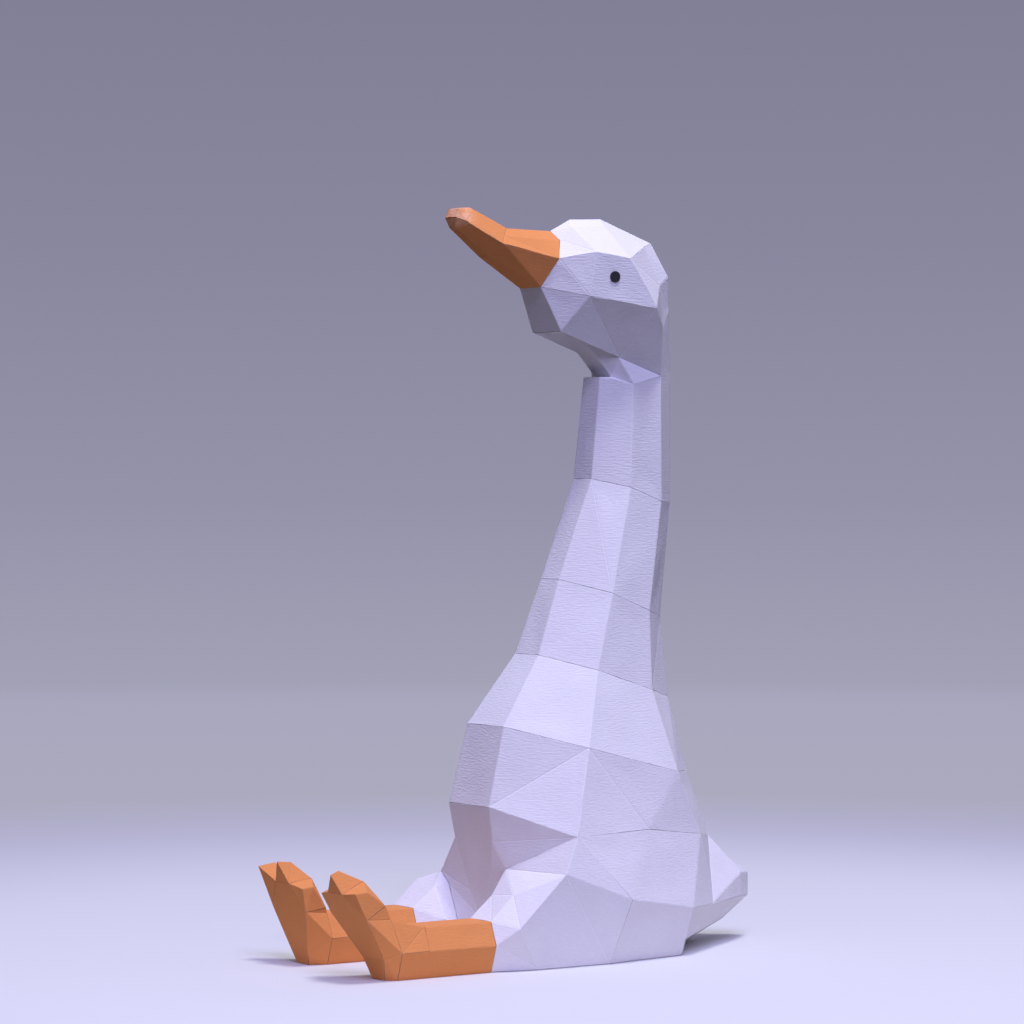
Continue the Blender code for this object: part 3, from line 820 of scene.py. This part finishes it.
def make_base(context):
    """The base keeps its flat solid and gets the white card."""
    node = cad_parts["base"]
    colours = context.scene.goose_colour
    face = Shader("white_card_base")
    clouds = face.noise(face.place(), CLOUD_SCALE, 3.0)
    fibres = face.noise(face.place(), BASE_FIBRE_SCALE, 2.0)
    colour = face.mix(face.band(clouds, 0.3, 0.7), scaled(colours.white, 0.96), opaque(colours.white))
    face.join(colour, face.surface.inputs["Base Color"])
    face.surface.inputs["Roughness"].default_value = 0.85
    face.join(face.bump(fibres, 0.05 * MM), face.surface.inputs["Normal"])
    node.data.materials.clear()
    node.data.materials.append(face.material)


def round_surface(name, rings, heights, columns):
    """A surface of revolution: a point is (r cos t, r sin t, h), with r and h along a profile."""
    turns = np.linspace(0.0, 2 * math.pi, columns, endpoint=False)
    x = rings[:, None] * np.cos(turns)
    y = rings[:, None] * np.sin(turns)
    z = np.repeat(heights[:, None], columns, axis=1)
    places = np.stack([x, y, z], axis=-1).reshape(-1, 3)
    mesh = bpy.data.meshes.new(name)
    mesh.from_pydata(places, [], ring_quads(len(rings), columns))
    return mesh


def fill_ramp(ramp, tones):
    """Gives a ramp its tones; a new ramp already has two."""
    elements = ramp.color_ramp.elements
    for number, (place, tone) in enumerate(tones):
        element = elements[number] if number < 2 else elements.new(place)
        element.position = place
        element.color = opaque(tone)


def tone_ramp(look, value, tones):
    """A colour that changes with a value, from one tone to the next."""
    ramp = look.node("ShaderNodeValToRGB")
    look.join(value, ramp.inputs["Fac"])
    fill_ramp(ramp, tones)
    return ramp.outputs["Color"]


def make_floor(context):
    """A round pale floor: lit by the lamps near the goose, and beyond a glow for the camera with
    painted light that fades outwards.
    """
    stage = context.scene.goose_stage
    rings = stage.floor_radius * np.linspace(0.0, 1.0, FLOOR_RINGS)
    rings[0] = INNERMOST_RING
    mesh = round_surface("floor", rings, np.zeros(FLOOR_RINGS), STAGE_COLUMNS)
    floor = bpy.data.objects.new("floor", mesh)
    context.scene.collection.objects.link(floor)
    look = Shader("floor_paint")
    length = look.node("ShaderNodeVectorMath", operation="LENGTH")
    look.join(look.place(), length.inputs[0])
    radius = length.outputs["Value"]
    seen = look.node("ShaderNodeLightPath").outputs["Is Camera Ray"]
    look.join(look.mix(seen, opaque(stage.bounce_colour), opaque(stage.floor_colour)),
              look.surface.inputs["Base Color"])
    look.surface.inputs["Roughness"].default_value = 1.0
    look.surface.inputs["Specular IOR Level"].default_value = 0.0
    glow = look.node("ShaderNodeEmission")
    # painted light: the glow is brightest near the goose and darker outwards, as a lit floor would be
    look.join(tone_ramp(look, look.maths("DIVIDE", radius, stage.floor_radius), FLOOR_PAINTED_LIGHT_TONES),
              glow.inputs["Color"])
    look.join(seen, glow.inputs["Strength"])
    # where the floor lit by the lamps gives way to the painted light of the glow
    painted_light_part = look.band(radius, stage.lit_radius * FADE_FROM, stage.lit_radius * FADE_TO)
    dull = look.band(radius, stage.bounce_radius * FADE_FROM, stage.bounce_radius * FADE_TO)
    dull = look.maths("MULTIPLY", dull, look.maths("SUBTRACT", 1.0, seen))
    blend = look.node("ShaderNodeMixShader")
    look.join(look.maths("MAXIMUM", painted_light_part, dull), blend.inputs[0])
    look.join(look.surface.outputs[0], blend.inputs[1])
    look.join(glow.outputs[0], blend.inputs[2])
    look.join(blend.outputs[0], look.tree.nodes["Material Output"].inputs["Surface"])
    mesh.materials.append(look.material)


def make_backdrop(context):
    """A round glowing wall behind the floor that only the camera sees, with painted shade that darkens
    it towards its top.
    """
    stage = context.scene.goose_stage
    heights = stage.wall_height * np.linspace(0.0, 1.0, WALL_RINGS)
    mesh = round_surface("backdrop", np.full(WALL_RINGS, stage.floor_radius), heights, STAGE_COLUMNS)
    wall = bpy.data.objects.new("backdrop", mesh)
    context.scene.collection.objects.link(wall)
    look = Shader("backdrop_paint")
    split = look.node("ShaderNodeSeparateXYZ")
    look.join(look.place(), split.inputs[0])
    glow = look.node("ShaderNodeEmission")
    # painted shade: the wall's glow darkens with height
    look.join(tone_ramp(look, split.outputs["Z"], WALL_PAINTED_SHADE_TONES), glow.inputs["Color"])
    look.join(glow.outputs[0], look.tree.nodes["Material Output"].inputs["Surface"])
    look.tree.nodes.remove(look.surface)
    mesh.materials.append(look.material)
    for kind in ("diffuse", "glossy", "transmission", "volume_scatter", "shadow"):
        setattr(wall, "visible_" + kind, False)


def make_lamp(context, name, place, size, power, colour):
    """A square soft lamp that is turned to the goose."""
    lamp = bpy.data.lights.new(name, "AREA")
    lamp.shape = "SQUARE"
    lamp.size = size
    lamp.energy = power
    lamp.color = colour
    holder = bpy.data.objects.new(name, lamp)
    holder.location = place
    holder.rotation_euler = (Vector(LAMP_AIM) - holder.location).to_track_quat("-Z", "Y").to_euler()
    context.scene.collection.objects.link(holder)


def make_lights(context):
    """Soft lamps above and at the goose's left side, and lilac light from around and above."""
    stage = context.scene.goose_stage
    world = bpy.data.worlds.new("studio")
    world.use_nodes = True
    tree = world.node_tree
    background = tree.nodes["Background"]
    place = tree.nodes.new("ShaderNodeTexCoord")
    split = tree.nodes.new("ShaderNodeSeparateXYZ")
    ramp = tree.nodes.new("ShaderNodeValToRGB")
    fill_ramp(ramp, SKY_TONES)
    tree.links.new(place.outputs["Generated"], split.inputs[0])
    tree.links.new(split.outputs["Z"], ramp.inputs["Fac"])
    tree.links.new(ramp.outputs["Color"], background.inputs["Color"])
    background.inputs["Strength"].default_value = 1.0
    context.scene.world = world
    make_lamp(context, "lamp_above", ABOVE_PLACE, stage.lamp_size, stage.lamp_power, stage.lamp_colour)
    make_lamp(context, "lamp_aside", ASIDE_PLACE, stage.side_lamp_size, stage.side_lamp_power,
              stage.side_lamp_colour)


def make_camera(context):
    """The camera looks level past the goose's left side, turned towards its front."""
    stage = context.scene.goose_stage
    camera = bpy.data.objects.new("camera", bpy.data.cameras.new("camera"))
    camera.data.lens = stage.lens
    camera.data.sensor_width = SENSOR_WIDTH
    camera.data.clip_end = CLIP_END
    camera.location = stage.camera_place
    level = math.cos(stage.camera_pitch)
    view = Vector((-math.cos(stage.camera_turn) * level, math.sin(stage.camera_turn) * level,
                   -math.sin(stage.camera_pitch)))
    camera.rotation_euler = view.to_track_quat("-Z", "Y").to_euler()
    context.scene.collection.objects.link(camera)
    context.scene.camera = camera


class GOOSE_OT_beak(bpy.types.Operator):
    """Make the two orange cards of the beak"""

    bl_idname = "goose.beak"
    bl_label = "Beak"

    def execute(self, context):
        make_group(context, "beak", "orange")
        return {"FINISHED"}


class GOOSE_OT_head(bpy.types.Operator):
    """Make the white cards of the head"""

    bl_idname = "goose.head"
    bl_label = "Head"

    def execute(self, context):
        make_group(context, "head", "white")
        return {"FINISHED"}


class GOOSE_OT_neck(bpy.types.Operator):
    """Make throat, nape and the four sleeves of the neck"""

    bl_idname = "goose.neck"
    bl_label = "Neck"

    def execute(self, context):
        make_group(context, "neck", "white")
        return {"FINISHED"}


class GOOSE_OT_body(bpy.types.Operator):
    """Make breast, back, belly, flanks and haunches"""

    bl_idname = "goose.body"
    bl_label = "Body"

    def execute(self, context):
        make_group(context, "body", "white")
        return {"FINISHED"}


class GOOSE_OT_thighs(bpy.types.Operator):
    """Make the two thighs"""

    bl_idname = "goose.thighs"
    bl_label = "Thighs"

    def execute(self, context):
        make_group(context, "thighs", "white")
        return {"FINISHED"}


class GOOSE_OT_tail(bpy.types.Operator):
    """Make the upper and the lower card of the tail"""

    bl_idname = "goose.tail"
    bl_label = "Tail"

    def execute(self, context):
        make_group(context, "tail", "white")
        return {"FINISHED"}


class GOOSE_OT_legs(bpy.types.Operator):
    """Make the orange tubes of legs and ankles"""

    bl_idname = "goose.legs"
    bl_label = "Legs"

    def execute(self, context):
        make_group(context, "legs", "orange")
        return {"FINISHED"}


class GOOSE_OT_feet(bpy.types.Operator):
    """Make the folded cards of both feet"""

    bl_idname = "goose.feet"
    bl_label = "Feet"

    def execute(self, context):
        make_group(context, "feet", "orange")
        return {"FINISHED"}


class GOOSE_OT_eyes(bpy.types.Operator):
    """Make the two punched discs of the eyes"""

    bl_idname = "goose.eyes"
    bl_label = "Eyes"

    def execute(self, context):
        make_eye(context, "eye_left")
        make_eye(context, "eye_right")
        return {"FINISHED"}


class GOOSE_OT_base(bpy.types.Operator):
    """Give the card under the goose its finish"""

    bl_idname = "goose.base"
    bl_label = "Base"

    def execute(self, context):
        make_base(context)
        return {"FINISHED"}


class GOOSE_OT_stage(bpy.types.Operator):
    """Make floor, backdrop, lamps and camera"""

    bl_idname = "goose.stage"
    bl_label = "Stage"

    def execute(self, context):
        make_floor(context)
        make_backdrop(context)
        make_lights(context)
        make_camera(context)
        context.scene.view_settings.view_transform = "Standard"
        return {"FINISHED"}


OPERATORS = (
    GOOSE_OT_beak, GOOSE_OT_head, GOOSE_OT_neck, GOOSE_OT_body, GOOSE_OT_thighs, GOOSE_OT_tail,
    GOOSE_OT_legs, GOOSE_OT_feet, GOOSE_OT_eyes, GOOSE_OT_base, GOOSE_OT_stage,
)


class GOOSE_PT_pieces(bpy.types.Panel):
    """Lists what makes the goose and its studio"""

    bl_idname = "GOOSE_PT_pieces"
    bl_label = "Goose"
    bl_space_type = "VIEW_3D"
    bl_region_type = "UI"
    bl_category = "Goose"

    def draw(self, context):
        for operator in OPERATORS:
            self.layout.operator(operator.bl_idname)


CLASSES = (GooseSheetSettings, GooseColourSettings, GooseStageSettings) + OPERATORS + (GOOSE_PT_pieces,)


def register():
    for item in CLASSES:
        bpy.utils.register_class(item)
    bpy.types.Scene.goose_sheet = PointerProperty(type=GooseSheetSettings)
    bpy.types.Scene.goose_colour = PointerProperty(type=GooseColourSettings)
    bpy.types.Scene.goose_stage = PointerProperty(type=GooseStageSettings)


def unregister():
    del bpy.types.Scene.goose_stage
    del bpy.types.Scene.goose_colour
    del bpy.types.Scene.goose_sheet
    for item in reversed(CLASSES):
        bpy.utils.unregister_class(item)


def main():
    """Make every piece and the stage."""
    register()
    bpy.ops.goose.beak()
    bpy.ops.goose.head()
    bpy.ops.goose.neck()
    bpy.ops.goose.body()
    bpy.ops.goose.thighs()
    bpy.ops.goose.tail()
    bpy.ops.goose.legs()
    bpy.ops.goose.feet()
    bpy.ops.goose.eyes()
    bpy.ops.goose.base()
    bpy.ops.goose.stage()


if __name__ == "__main__":
    main()
